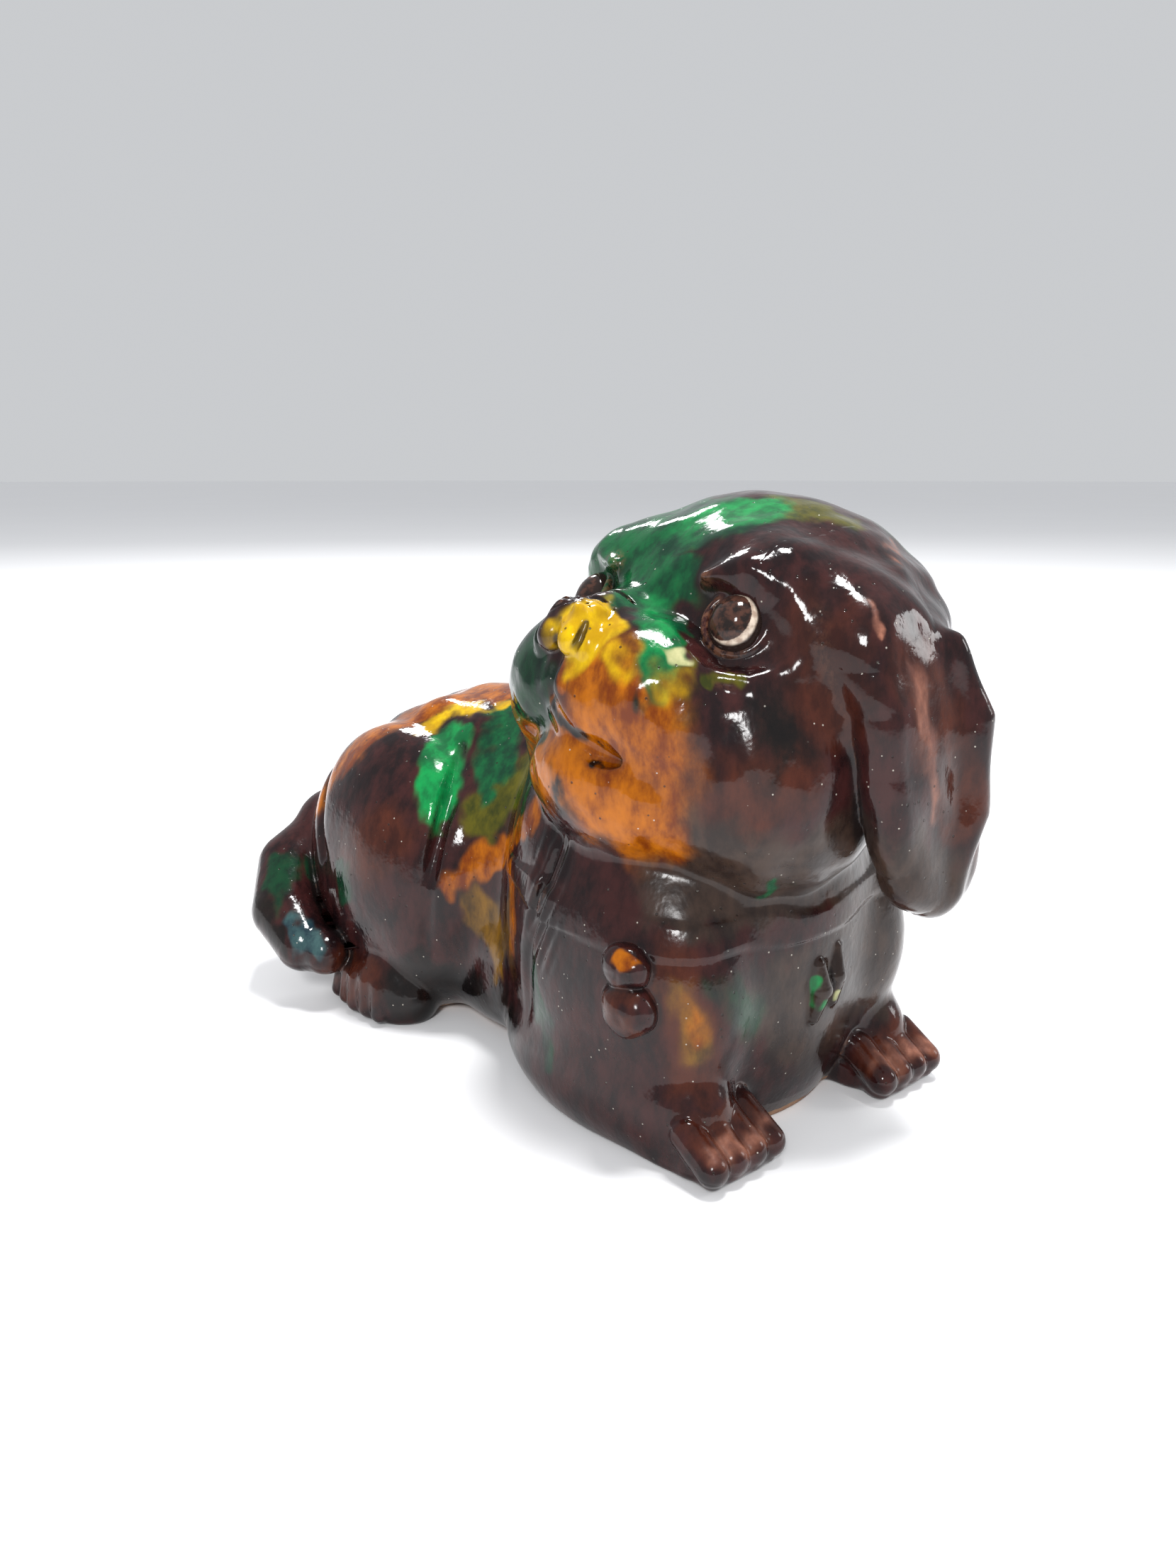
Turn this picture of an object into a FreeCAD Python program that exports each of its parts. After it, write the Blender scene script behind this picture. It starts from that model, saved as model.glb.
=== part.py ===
import FreeCAD, Part
import os

# A recumbent glazed pottery puppy. The body and the head are hollow shells, each pressed in a two-part
# mould; the legs, tail, ears, eyes, nose, collar and pendants were made apart and pressed on with slip.
# Millimetres and degrees. Body pieces are laid out from the line across the front of the forepaws, on
# the body's plane of symmetry: x to the dog's left, y to its rear, z up. Head pieces are laid out about
# the middle of the head with the nose towards -y, and are then turned and tilted together.

SETTINGS = {
    "wall": 4.0,
    "slab_thickness": 4.0,
    "vent_bore": 8.0,
    "vent_rear": 66.0,
    "half_span": 90.0,
    "row_shift_left": 3.6,
    "row_shift_rear": -64.3,
    "head_left": 6.0,
    "head_rear": 32.5,
    "head_rise": 74.0,
    "head_turn": 90.0,
    "head_tilt": 26.0,
    "head_roll": 2.0,
    "mould_seam_rear": 3.0,
    "neck_bore": 24.0,
    "neck_bore_rear": 6.0,
    "collar_proud": 1.1,
    "collar_low": 37.5,
    "collar_width": 5.5,
    "collar_slope": 4.0,
    "sole_height": 4.5,
    "sole_inner": 13.5,
    "sole_width": 18.5,
    "sole_length": 24.0,
    "toe_pitch": 4.7,
    "toe_inner": 16.0,
    "hind_toe_pitch": 5.4,
    "hind_toe_front": 92.0,
    "tail_ring": 12.5,
    "tail_girth": 7.4,
    "tail_start": 62.0,
    "tail_end": 205.0,
    "tail_ring_x": -33.5,
    "tail_ring_y": 121.0,
    "tail_ring_z": 21.0,
    "tail_lean": 24.0,
    "eye_x": 17.3,
    "eye_y": -26.8,
    "eye_z": 7.0,
    "eye_radius": 4.4,
    "eye_sink": -6.0,
    "eye_turn": 29.7,
    "bell_x": -34.6,
    "bell_y": 19.5,
    "bell_z": 28.0,
    "bell_radius": 4.7,
    "bell_sink": 8.0,
    "bell_turn": -73.3,
    "tassel_offset": 1.9,
    "tassel_radius": 2.4,
    "tassel_length": 10.6,
    "tassel_low": 21.2,
    "tassel_front": 5.9,
    "tassel_seat": 7.0,
    "bead_slit_width": 0.9,
    "bead_slit_depth": 2.0,
}

# Rounded clay masses: centre x, y, z and the three half-axes. Paired masses give the left one.
MASSES = {
    "chest": (0.0, 41.5, 31.0, 34.5, 36.0, 54.0),
    "torso": (0.0, 90.0, 32.5, 30.0, 43.0, 34.0),
    "shoulder": (22.5, 30.5, 27.0, 13.5, 23.5, 24.5),
    "haunch": (24.5, 104.5, 29.0, 18.0, 30.5, 32.5),
    "forearm": (24.5, 34.5, 9.0, 12.0, 28.5, 14.0),
    "wrist": (23.0, 13.0, 4.5, 9.0, 12.5, 9.5),
    "toe": (0.0, 6.0, 5.5, 2.6, 6.0, 4.2),
    "hind_foot": (33.5, 100.0, 5.0, 10.0, 15.0, 11.0),
    "hind_toe": (38.5, 0.0, 4.0, 5.5, 3.0, 6.0),
    "tail_tip": (-46.5, 114.5, 17.5, 7.0, 9.0, 7.5),
    "skull": (0.0, 2.8, 7.4, 36.0, 35.0, 32.5),
    "cheek": (19.5, -5.6, -12.0, 16.5, 23.0, 22.0),
    "lip_pad": (10.2, -26.0, -8.4, 14.0, 15.8, 13.0),
    "jaw": (0.0, -14.9, -24.2, 20.5, 20.5, 13.0),
    "nostril": (3.6, -38.6, 0.6, 5.0, 5.0, 5.0),
    "ear": (38.5, 5.3, -2.0, 6.0, 15.0, 27.5),
    "knot": (-34.6, 20.5, 35.0, 3.4, 3.4, 3.6),
}

ROW = "placement(vector(Dims.row_shift_left; Dims.row_shift_rear; 0); rotationz(0))"
HEAD_POSE = ("placement(vector(Dims.head_left; Dims.head_rear; Dims.head_rise); "
             "rotationz(-Dims.head_turn) * rotationx(-Dims.head_tilt) * rotationy(Dims.head_roll))")
SIDES = (("left", 1), ("right", -1))
AXES = ("x", "y", "z")

doc = FreeCAD.newDocument("Puppy")
sheet = doc.addObject("Spreadsheet::Sheet", "Dims")
sub_parts = []


def fill_sheet():
    cells = dict(SETTINGS)
    for mass, numbers in MASSES.items():
        names = [mass + "_" + axis for axis in AXES] + [mass + "_r" + axis for axis in AXES]
        cells.update(zip(names, numbers))
    for line, (alias, value) in enumerate(cells.items(), 1):
        sheet.set("A%d" % line, alias)
        sheet.set("B%d" % line, str(value))
        sheet.setAlias("B%d" % line, alias)
    doc.recompute()


def bound(kind, name, bindings):
    """Adds an object whose properties follow cells of the sheet."""
    thing = doc.addObject(kind, name)
    for prop, formula in bindings.items():
        thing.setExpression(prop, formula)
    return thing


def ball(mass, side=1, inset="0", tag="", turn="rotationz(0)", along=("0", "0", "0")):
    """An ellipsoid of clay, or a sphere where its half-axes are equal; side -1 mirrors it, inset
    shrinks it, turn tips it and along moves it."""
    middle = "; ".join("%sDims.%s_%s + %s" % ("-" if side < 0 and axis == "x" else "", mass, axis, extra)
                       for axis, extra in zip(AXES, along))
    name = mass + tag + ("_r" if side < 0 else "_l")
    place = {"Placement": "placement(vector(%s); %s)" % (middle, turn)}
    if len(set(MASSES[mass][3:])) == 1:
        return bound("Part::Sphere", name, {"Radius": "Dims.%s_rx - %s" % (mass, inset), **place})
    return bound("Part::Ellipsoid", name, {
        "Radius1": "Dims.%s_rz - %s" % (mass, inset),
        "Radius2": "Dims.%s_rx - %s" % (mass, inset),
        "Radius3": "Dims.%s_ry - %s" % (mass, inset),
        **place,
    })


def block(name, corner, size):
    """A box with its corner and its size given as three formulas each."""
    return bound("Part::Box", name, {
        "Length": size[0],
        "Width": size[1],
        "Height": size[2],
        "Placement": "placement(vector(%s); rotationz(0))" % "; ".join(corner),
    })


def fuse(name, pieces):
    joined = doc.addObject("Part::MultiFuse", name)
    joined.Shapes = pieces
    return joined


def overlap(name, first, second):
    shared = doc.addObject("Part::Common", name)
    shared.Base = first
    shared.Tool = second
    return shared


def trim(name, base, cutters):
    """The base less every cutter."""
    for number, cutter in enumerate(cutters, 1):
        cut = doc.addObject("Part::Cut", name if number == len(cutters) else "%s_%d" % (name, number))
        cut.Base = base
        cut.Tool = cutter
        base = cut
    return base


def finish(node, piece, pose=ROW):
    """Names the finished sub-part and stands it in the object's own frame."""
    piece.Label = node
    piece.setExpression("Placement", pose)
    sub_parts.append(piece)


def body_solid():
    masses = [ball("chest"), ball("torso")]
    masses += [ball(mass, side) for mass in ("shoulder", "haunch") for _, side in SIDES]
    return fuse("body_solid", masses)


def body_hollow():
    masses = [ball("chest", inset="Dims.wall", tag="_in"), ball("torso", inset="Dims.wall", tag="_in")]
    masses += [ball("haunch", side, "Dims.wall", "_in") for _, side in SIDES]
    return fuse("body_hollow", masses)


def head_solid():
    masses = [ball("skull"), ball("jaw")]
    masses += [ball(mass, side) for mass in ("cheek", "lip_pad") for _, side in SIDES]
    return fuse("head_solid", masses)


def head_hollow():
    masses = [ball("skull", inset="Dims.wall", tag="_in")]
    masses += [ball("cheek", side, "Dims.wall", "_in") for _, side in SIDES]
    return fuse("head_hollow", masses)


def neck_bore():
    """The round opening in the bottom of the head that meets the hollow of the body."""
    return bound("Part::Cylinder", "neck_bore", {
        "Radius": "Dims.neck_bore / 2",
        "Height": "Dims.half_span",
        "Placement": "placement(vector(0; Dims.neck_bore_rear; 0); "
                     "rotationx(Dims.head_tilt) * rotationx(180))",
    })


def body_shell(body, hollow, head):
    """Left and right moulded halves, open at the neck and at the slab."""
    for name, side in SIDES:
        start = "0" if side > 0 else "-Dims.half_span"
        half = block("half_" + name, (start, "-Dims.half_span", "Dims.slab_thickness"),
                     ("Dims.half_span", "3 * Dims.half_span", "2 * Dims.half_span"))
        moulded = overlap("moulded_" + name, body, half)
        finish("body_%s_half" % name, trim("body_%s_half" % name, moulded, [hollow, head]))


def base_slab(body):
    """The flat clay slab that closes the underside, with the vent that lets steam out in the kiln."""
    slice_box = block("slab_slice", ("-Dims.half_span", "-Dims.half_span", "0"),
                      ("2 * Dims.half_span", "3 * Dims.half_span", "Dims.slab_thickness"))
    vent = bound("Part::Cylinder", "vent", {
        "Radius": "Dims.vent_bore / 2",
        "Height": "3 * Dims.slab_thickness",
        "Placement": "placement(vector(0; Dims.vent_rear; -Dims.slab_thickness); rotationz(0))",
    })
    finish("base_slab", trim("base_slab", overlap("slab_blank", body, slice_box), [vent]))


def head_shell(head, hollow):
    """Face and back of the head, parted at the mould seam and open at the neck."""
    bore = neck_bore()
    for name, start in (("face", "Dims.mould_seam_rear - 2 * Dims.half_span"), ("back", "Dims.mould_seam_rear")):
        half = block("half_" + name, ("-Dims.half_span", start, "-Dims.half_span"),
                     ("2 * Dims.half_span", "2 * Dims.half_span", "2 * Dims.half_span"))
        moulded = overlap("moulded_" + name, head, half)
        finish("head_" + name, trim("head_" + name, moulded, [hollow, bore]), ROW + " * " + HEAD_POSE)


def ears(head, body_in_head):
    """Two long flaps that hang straight down from the sides of the tilted head."""
    for name, side in SIDES:
        flap = ball("ear", side, turn="rotationx(Dims.head_tilt)")
        finish("ear_" + name, trim("ear_" + name, flap, [head, body_in_head]), ROW + " * " + HEAD_POSE)


def nose_pad(head):
    """Two nostril lobes side by side above the lips."""
    lobes = fuse("nose_blank", [ball("nostril", side) for _, side in SIDES])
    finish("nose_pad", trim("nose_pad", lobes, [head]), ROW + " * " + HEAD_POSE)


def dome(thing, name, side=1):
    """A pellet of clay with a flat seat sunk a little past its middle; its top faces along turn."""
    sign = "" if side > 0 else "-"
    return bound("Part::Sphere", name, {
        "Radius": "Dims.%s_radius" % thing,
        "Angle1": "-Dims.%s_sink" % thing,
        "Placement": "placement(vector(%sDims.%s_x; Dims.%s_y; Dims.%s_z); rotationz(%sDims.%s_turn) * rotationx(90))"
                     % (sign, thing, thing, thing, sign, thing),
    })


def eye_balls():
    """Round pellets pressed on to the face."""
    for name, side in SIDES:
        kept = doc.addObject("Part::Compound", "eye_" + name)
        kept.Links = [dome("eye", "eye_pellet_" + name, side)]
        finish("eye_" + name, kept, ROW + " * " + HEAD_POSE)


def ground():
    """Everything below the surface that the object stands on."""
    return block("ground", ("-Dims.half_span", "-Dims.half_span", "-Dims.half_span"),
                 ("2 * Dims.half_span", "3 * Dims.half_span", "Dims.half_span"))


def forelegs(body, floor):
    """Forearm and paw on each side: a square-cut sole, a domed wrist and four toes."""
    for name, side in SIDES:
        inner = "Dims.sole_inner" if side > 0 else "-Dims.sole_inner - Dims.sole_width"
        sole = block("sole_" + name, (inner, "0", "0"), ("Dims.sole_width", "Dims.sole_length", "Dims.sole_height"))
        masses = [sole, ball("forearm", side), ball("wrist", side)]
        sign = "" if side > 0 else "-"
        for number in range(4):
            offset = "%s(Dims.toe_inner + %d * Dims.toe_pitch)" % (sign, number)
            masses.append(ball("toe", side, tag="_%d" % number, along=(offset, "0", "0")))
        finish("foreleg_" + name, trim("foreleg_" + name, fuse("foreleg_blank_" + name, masses), [body, floor]))


def hind_feet(body, floor):
    """Hind feet tucked beside the haunches with their four toes turned outwards."""
    blanks = {}
    for name, side in SIDES:
        masses = [ball("hind_foot", side)]
        for number in range(4):
            offset = "Dims.hind_toe_front + %d * Dims.hind_toe_pitch" % number
            masses.append(ball("hind_toe", side, tag="_%d" % number, along=("0", offset, "0")))
        blanks[name] = fuse("hind_foot_blank_" + name, masses)
        finish("hind_paw_" + name, trim("hind_paw_" + name, blanks[name], [body, floor]))
    return blanks["right"]


def tail(body, foot):
    """A thick tail that curls round the right haunch and ends in a rounded tip."""
    curl = bound("Part::Torus", "tail_curl", {
        "Radius1": "Dims.tail_ring",
        "Radius2": "Dims.tail_girth",
        "Angle3": "Dims.tail_end - Dims.tail_start",
        "Placement": "placement(vector(Dims.tail_ring_x; Dims.tail_ring_y; Dims.tail_ring_z); "
                     "rotationx(Dims.tail_lean) * rotationz(Dims.tail_start))",
    })
    blank = fuse("tail_blank", [curl, ball("tail_tip")])
    finish("tail", trim("tail", blank, [body, foot]))


def collar(body, head):
    """A low clay band round the base of the neck, a little higher at the back."""
    band = block("collar_level", ("-Dims.half_span", "-Dims.half_span", "0"),
                 ("2 * Dims.half_span", "2 * Dims.half_span", "Dims.collar_width"))
    band.setExpression("Placement", "placement(vector(-Dims.half_span; 0; Dims.collar_low); "
                                    "rotationx(Dims.collar_slope))")
    swell = fuse("collar_swell", [ball("chest", inset="(-Dims.collar_proud)", tag="_out")]
                 + [ball("shoulder", side, "(-Dims.collar_proud)", "_out") for _, side in SIDES])
    strip = overlap("collar_strip", swell, band)
    finish("collar_band", trim("collar_band", strip, [body, head]))
    return strip


def tassel_lobes():
    """Two upright rolls of clay side by side, rounded at both ends."""
    rolls = []
    for name, side in SIDES:
        across = "%sDims.tassel_offset" % ("" if side > 0 else "-")
        middle = "vector(%s; Dims.tassel_front; Dims.tassel_low + %s)"
        rolls.append(bound("Part::Cylinder", "tassel_roll_" + name, {
            "Radius": "Dims.tassel_radius",
            "Height": "Dims.tassel_length",
            "Placement": "placement(%s; rotationz(0))" % (middle % (across, "0")),
        }))
        for end, rise in (("foot", "0"), ("head", "Dims.tassel_length")):
            rolls.append(bound("Part::Sphere", "tassel_%s_%s" % (end, name), {
                "Radius": "Dims.tassel_radius",
                "Placement": "placement(%s; rotationz(0))" % (middle % (across, rise)),
            }))
    return rolls


def pendants(body, band):
    """The round bell under its knot at the right of the chest, and the tassel at the front."""
    bell = dome("bell", "bell_blank")
    knot = ball("knot")
    slit = block("bead_slit", ("Dims.knot_x - 2 * Dims.knot_rx", "Dims.knot_y - Dims.bead_slit_width / 2",
                               "Dims.knot_z + Dims.knot_rz - Dims.bead_slit_depth"),
                 ("4 * Dims.knot_rx", "Dims.bead_slit_width", "Dims.bead_slit_depth"))
    finish("bell_knot", trim("bell_knot", knot, [body, band, bell, slit]))
    kept = doc.addObject("Part::Compound", "bell_kept")
    kept.Links = [bell]
    finish("bell", kept)
    seat = block("tassel_back", ("-Dims.half_span", "Dims.tassel_seat", "0"),
                 ("2 * Dims.half_span", "Dims.half_span", "Dims.half_span"))
    finish("tassel", trim("tassel", fuse("tassel_blank", tassel_lobes()), [seat]))


def head_in_body(head):
    """The head's solid where it sits on the body, to trim the pieces that meet it."""
    placed = doc.addObject("Part::Compound", "head_in_place")
    placed.Links = [head]
    placed.setExpression("Placement", HEAD_POSE)
    return placed


def body_in_head(body):
    """The body's solid as the head's own frame sees it, to trim the ear that lies on the back."""
    placed = doc.addObject("Part::Compound", "body_in_place")
    placed.Links = [body]
    placed.setExpression("Placement",
                         "placement(vector(0; 0; 0); rotationy(-Dims.head_roll) * rotationx(Dims.head_tilt) "
                         "* rotationz(Dims.head_turn)) * placement(vector(-Dims.head_left; "
                         "-Dims.head_rear; -Dims.head_rise); rotationz(0))")
    return placed


def export_parts():
    os.makedirs("parts", exist_ok=True)
    doc.recompute()
    for thing in doc.Objects:
        if "Invalid" in thing.State or "Error" in thing.State:
            raise SystemExit("failed object: " + thing.Name)
    box = FreeCAD.BoundBox()
    for piece in sub_parts:
        shape = piece.Shape
        if shape.isNull() or not shape.isValid() or len(shape.Solids) != 1:
            raise SystemExit("bad shape: %s, %d solids" % (piece.Label, len(shape.Solids)))
        shape.exportStep("parts/%s.step" % piece.Label)
        room = shape.optimalBoundingBox(False)
        box.add(room)
        print("%-16s %8.0f mm3  %s" % (piece.Label, shape.Volume, room))
    print("box", box)


fill_sheet()
body = body_solid()
head = head_solid()
floor = ground()
head_placed = head_in_body(head)
body_shell(body, body_hollow(), head_placed)
base_slab(body)
head_shell(head, head_hollow())
eye_balls()
ears(head, body_in_head(body))
nose_pad(head)
forelegs(body, floor)
tail(body, hind_feet(body, floor))
pendants(body, collar(body, head_placed))
export_parts()
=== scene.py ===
import bpy
import math
import numpy as np
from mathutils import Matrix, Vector


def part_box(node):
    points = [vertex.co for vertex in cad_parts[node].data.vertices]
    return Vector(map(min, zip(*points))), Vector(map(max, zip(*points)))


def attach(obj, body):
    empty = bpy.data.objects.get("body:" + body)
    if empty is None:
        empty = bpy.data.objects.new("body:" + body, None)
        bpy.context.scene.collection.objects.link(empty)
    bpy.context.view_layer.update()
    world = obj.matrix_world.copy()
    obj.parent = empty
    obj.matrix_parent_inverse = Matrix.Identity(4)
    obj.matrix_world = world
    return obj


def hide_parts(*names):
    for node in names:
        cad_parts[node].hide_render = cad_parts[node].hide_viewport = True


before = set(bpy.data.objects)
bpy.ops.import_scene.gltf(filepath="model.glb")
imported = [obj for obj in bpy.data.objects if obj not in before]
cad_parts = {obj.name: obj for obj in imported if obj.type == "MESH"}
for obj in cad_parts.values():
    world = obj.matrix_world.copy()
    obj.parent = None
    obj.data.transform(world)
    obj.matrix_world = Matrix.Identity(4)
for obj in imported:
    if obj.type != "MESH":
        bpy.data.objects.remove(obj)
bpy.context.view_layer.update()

# A recumbent glazed pottery puppy. The clay is sculpted as one distance field in millimetres, meshed
# once and split into the CAD's sub-parts, so that neighbours share their edges exactly. The field is
# laid out as the CAD is: x to the dog's left from the body's plane of symmetry, y to the rear from the
# front of the forepaws, z up. Head forms are laid out about the middle of the head, nose towards -y.

HEAD_MIDDLE = np.array([6.0, 32.5, 74.0])
HEAD_TURN = math.radians(90.0)
HEAD_TILT = math.radians(26.0)
HEAD_ROLL = math.radians(2.0)
SLAB_THICKNESS = 4.0
MOULD_SEAM_REAR = 3.0
VENT_REAR = 66.0
VENT_RADIUS = 4.0
VENT_DEPTH = 12.0
EYE_MIDDLE = (17.3, -27.0, 6.6)
EYE_RADII = (4.5, 4.5, 5.1)
EYE_FRONT = (0.45, -0.88, 0.10)
EYE_GAZE = (0.26, -0.95, 0.12)
PUPIL_EDGE = 0.55
LID_EDGE = 0.66
MUZZLE_LEAN = 2.5
NOSE_SHIFT = (0.6, 1.2, 3.0)
TOES = 4
HIND_TOES = 5
COLLAR_PROUD = 0.45
COMB_DEPTH = 0.22
COMB_RATE = 2.3
FINGER_MARKS = 0.30
FAR = 1e3


def turn_matrix(axis, angle):
    """Rotation about axis 0, 1 or 2."""
    c, s = math.cos(angle), math.sin(angle)
    matrix = np.eye(3)
    i, j = [(1, 2), (2, 0), (0, 1)][axis]
    matrix[i, i] = matrix[j, j] = c
    matrix[i, j], matrix[j, i] = -s, s
    return matrix


HEAD_POSE = turn_matrix(2, -HEAD_TURN) @ turn_matrix(0, -HEAD_TILT) @ turn_matrix(1, HEAD_ROLL)


def to_head(p):
    """Points on the puppy as the head's own frame sees them."""
    return (p - HEAD_MIDDLE.astype(p.dtype)) @ HEAD_POSE.astype(p.dtype)


def ellipsoid(p, middle, radii):
    q = p - np.asarray(middle, dtype=p.dtype)
    r = np.asarray(radii, dtype=p.dtype)
    near = np.sqrt(((q / r) ** 2).sum(-1))
    slope = np.sqrt(((q / (r * r)) ** 2).sum(-1)) + 1e-6
    return near * (near - 1.0) / slope


def strand(p, points, widths):
    """A rounded rope through points with a radius at each."""
    best = np.full(p.shape[:-1], FAR, dtype=p.dtype)
    for a, b, wa, wb in zip(points, points[1:], widths, widths[1:]):
        a = np.asarray(a, dtype=p.dtype)
        run = np.asarray(b, dtype=p.dtype) - a
        along = np.clip(((p - a) @ run) / (run @ run), 0.0, 1.0)
        gap = np.sqrt(((p - a - along[..., None] * run) ** 2).sum(-1))
        best = np.minimum(best, gap - (wa + (wb - wa) * along))
    return best


def rounded_block(p, middle, half, rounding):
    q = np.abs(p - np.asarray(middle, dtype=p.dtype)) - (np.asarray(half, dtype=p.dtype) - rounding)
    outside = np.sqrt((np.maximum(q, 0.0) ** 2).sum(-1))
    return outside + np.minimum(q.max(-1), 0.0) - rounding


def join(a, b, blend):
    h = np.maximum(blend - np.abs(a - b), 0.0) / blend
    return np.minimum(a, b) - h * h * h * blend / 6.0


def carve(a, b, blend):
    return -join(-a, b, blend)


def window(value, low, high, soft):
    """1 between low and high, falling off over soft at each end."""
    rise = np.clip((value - low) / soft, 0.0, 1.0)
    fall = np.clip((high - value) / soft, 0.0, 1.0)
    level = np.minimum(rise, fall)
    return level * level * (3.0 - 2.0 * level)


def wobble(p, wavelength, seed):
    """Smooth unevenness of about -1 to 1, as fingers leave in clay."""
    random = np.random.default_rng(seed)
    total = np.zeros(p.shape[:-1], dtype=p.dtype)
    for _ in range(5):
        wave = random.normal(size=3)
        wave *= 2.0 * math.pi / (wavelength * random.uniform(0.75, 1.35)) / np.linalg.norm(wave)
        total += np.sin(p @ wave.astype(p.dtype) + random.uniform(0.0, 6.28))
    return total / 2.6


def within(p, low, high, form):
    """A form worked out only for the points inside a box, and far away for the rest."""
    inside = np.all((p >= np.array(low, dtype=p.dtype)) & (p <= np.array(high, dtype=p.dtype)), axis=-1)
    gap = np.full(p.shape[:-1], FAR, dtype=p.dtype)
    if inside.any():
        gap[inside] = form(p[inside])
    return gap


def mirrored(p):
    q = p.copy()
    q[..., 0] = np.abs(q[..., 0])
    return q


def body_form(p):
    q = mirrored(p)
    chest = ellipsoid(q, (0, 41.5, 31), (34.5, 36, 54))
    front = join(chest, ellipsoid(q, (22.5, 30.5, 27), (13.5, 23.5, 25)), 11)
    torso = ellipsoid(p, (0, 89, 32.5), (29.5, 43, 34))
    back = join(torso, rounded_block(p, (0, 70, 15), (28.5, 26, 15), 12), 6)
    haunch = ellipsoid(q, (24.3, 104, 29), (18, 30.5, 32.5))
    rump = ellipsoid(q, (21, 124, 33), (11, 12, 16))
    spine = strand(p, [(0, 56, 57), (0, 82, 56.5), (0, 104, 55.5), (0, 115, 52.5), (0, 125, 40)],
                   [12.0, 12.5, 12.5, 12.0, 11.0])
    rear = join(join(join(back, spine, 8), haunch, 5), rump, 4)
    saddle = strand(q, [(11, 92, 55.5), (12, 104, 56), (13, 115, 52.5)], [9.5, 10.5, 9.5])
    rear = join(rear, saddle, 6)
    fold = strand(q, [(20, 88, 59), (27, 82, 51.5), (35.6, 79.2, 33), (35.6, 80.5, 20)],
                  [0.4, 1.4, 1.3, 0.5])
    rear = carve(rear, fold, 3.5)
    fold = strand(q, [(22, 124, 56), (31, 121, 50), (38, 117, 42), (41, 113, 33)], [0.3, 0.6, 0.6, 0.3])
    rear = carve(rear, fold, 6)
    form = join(front, rear, 6)
    crease = strand(q, [(28, 44, 60), (32.5, 41, 51), (36.3, 44.5, 34), (34.5, 48, 15)], [0.6, 1.1, 1.3, 0.6])
    return carve(form, crease, 4)


def collar_raise(p):
    """How far the low band round the neck stands proud, by height."""
    level = p[..., 2] - 0.05 * p[..., 1] + 0.5 * np.sin(p[..., 0] * 0.16 + 1.0) + 0.9 * wobble(p, 15.0, 21)
    return window(level, 36.6, 43.8, 1.6) * window(p[..., 1], -20, 66, 8)


def foreleg_form(q):
    """Forearm and paw of the left side: four toes like rolls over a low uneven sole."""
    arm = ellipsoid(q, (24.5, 34.5, 9), (12, 28.5, 14))
    wrist = ellipsoid(q, (23.0, 19, 5), (9.2, 12, 9.8))
    leg = join(arm, wrist, 5)
    sole = rounded_block(q, (22.9, 13.4, 3.0), (8.6, 12.0, 3.0), 2.4) - 0.25 * wobble(q, 5.0, 11)
    leg = join(join(leg, sole, 1.0), ellipsoid(q, (22.9, 15.5, 2.5), (9.2, 13.0, 8.6)), 2.5)
    for number in range(TOES):
        lift = 0.35 * abs(number - 1.4)
        rear = (19.4 + 2.4 * number, 20.0, 12.0 - lift)
        knuckle = (16.6 + 4.3 * number, 9.5, 8.4 - lift)
        tip = (16.0 + 4.6 * number, 3.2, 4.3 - 0.3 * lift)
        leg = join(leg, strand(q, [rear, knuckle, tip], [1.2, 3.1, 2.9]), 0.8)
    return leg


def hind_foot_form(q):
    """Foot of the left side, lying beside the haunch with its toes turned out."""
    foot = join(ellipsoid(q, (33.5, 99, 5), (9.5, 14.5, 10.5)), ellipsoid(q, (34, 96, 9), (7, 9, 8)), 4)
    for number in range(HIND_TOES):
        heel = (36.5 - 0.6 * abs(number - 2), 94.0 + 2.8 * number, 13.5 - 0.5 * abs(number - 1.5))
        bend = (41.2 - 0.6 * abs(number - 2), 92.2 + 3.9 * number, 8.2)
        tip = (41.8 - 0.5 * abs(number - 2), 91.4 + 4.3 * number, 2.6)
        foot = join(foot, strand(q, [heel, bend, tip], [1.0, 1.9, 2.0]), 1.3)
    return foot


def tail_form(p):
    root = ellipsoid(p, (-28, 130.5, 34), (9.5, 8.5, 8.5))
    curl = strand(p, [(-31, 130.5, 31), (-40.5, 129.5, 26), (-46.3, 122.5, 18.5), (-46.3, 114, 13.2),
                      (-44, 108.8, 12.2)], [7.8, 8.0, 7.6, 6.4, 5.0])
    knob = ellipsoid(p, (-44.4, 107.6, 12.6), (4.9, 4.6, 4.8))
    return join(join(root, curl, 3), knob, 1.6)


def flap(outline, depth, half):
    """A slab of clay with a round edge, from its flat outline and its distance off the middle plane."""
    return np.sqrt(np.maximum(outline + half, 0.0) ** 2 + depth ** 2) - half


def near_ear(p):
    """The left flap, which hangs straight down, with a raised ridge along its rear third."""
    side_on = p[..., (0, 2)]
    outline = strand(side_on, [(1.0, 88), (3.5, 82), (5.5, 76), (7.5, 68), (9.0, 61), (10.6, 54),
                               (12.0, 49.5)], [9.0, 11.6, 13.2, 14.4, 14.2, 12.0, 8.5])
    lean = np.maximum(p[..., 2] - 66.0, 0.0)
    middle = -6.4 + 0.008 * lean * lean
    sheet = flap(outline, p[..., 1] - middle, 4.2)
    rib = strand(p, [(12, -7.0, 88), (15.5, -10.4, 76), (15.5, -11.0, 60), (13.0, -10.0, 47)],
                 [1.2, 2.6, 2.4, 1.2])
    sheet = join(sheet, rib, 5.0)
    hollow = strand(p, [(3, -17.0, 74), (5, -17.0, 62), (7.5, -15.6, 52)], [3.0, 5.0, 3.4])
    return carve(sheet, hollow, 4.0) - FINGER_MARKS * wobble(p, 11.0, 7)


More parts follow.
